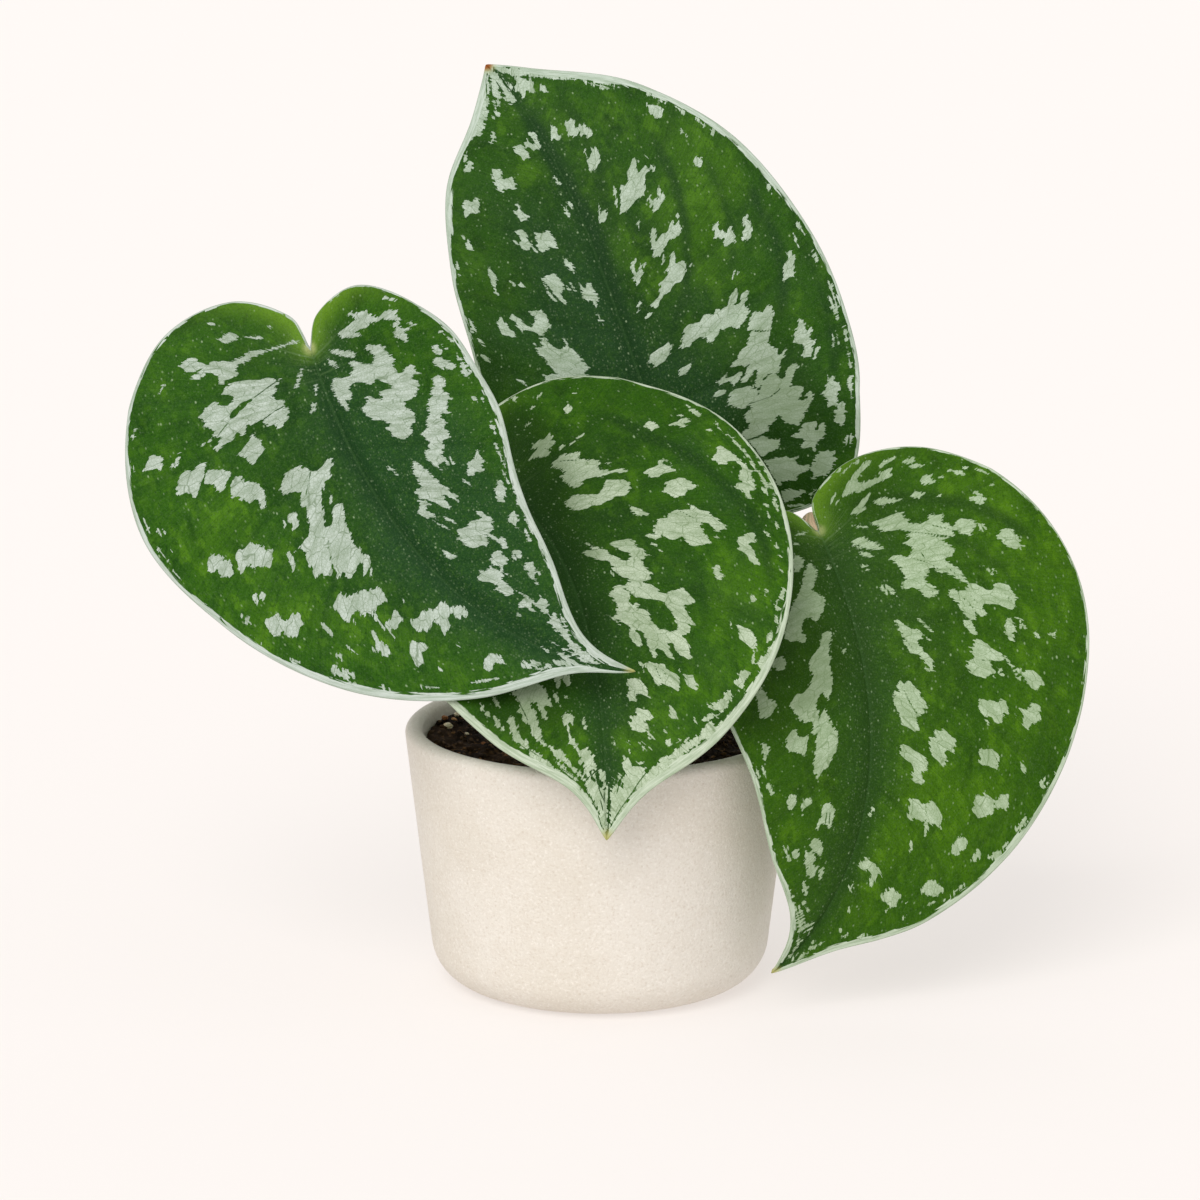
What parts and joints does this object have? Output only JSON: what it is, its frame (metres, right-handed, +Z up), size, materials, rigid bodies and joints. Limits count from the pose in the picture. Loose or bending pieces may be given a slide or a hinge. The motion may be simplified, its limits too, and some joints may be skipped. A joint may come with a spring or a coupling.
{
  "type": "potted trailing houseplant",
  "caption": "Trailing vine with large heart-shaped, silver-splashed green leaves on curved stalks, growing in potting mix in a round tapering cream ceramic pot with a rounded lip.",
  "frame": {"origin": "centre of the pot's flat base, on the surface that it stands on", "axes": "+Z up along the pot's axis; the leaves' faces look towards -Y, the front; +X to the viewer's right"},
  "size_m": [0.2437, 0.1486, 0.2277],
  "materials": {
    "pot_ceramic": "matt off-white stoneware with a fine speckle",
    "potting_mix": "loose dark brown peat, matt and crumbly",
    "root_fibre": "matted pale brown fibres",
    "vine_green": "smooth green, slightly ridged",
    "stalk_green": "smooth pale green to tan",
    "blade_green": "satin deep green with silver patches",
    "perlite": "matt cream, porous",
    "bark": "rough orange brown"
  },
  "bodies": {
    "root": {"pot": "pot_ceramic", "soil": "potting_mix", "root_ball": "root_fibre", "stem": "vine_green", "petiole_right": "stalk_green", "petiole_middle": "stalk_green", "petiole_top": "stalk_green", "petiole_left": "stalk_green", "leaf_left": "blade_green", "leaf_top": "blade_green", "leaf_middle": "blade_green", "leaf_right": "blade_green", "perlite_grain_1": "perlite", "perlite_grain_2": "perlite", "perlite_grain_3": "perlite", "bark_chip_1": "bark", "bark_chip_2": "bark"}
  },
  "joints": []
}
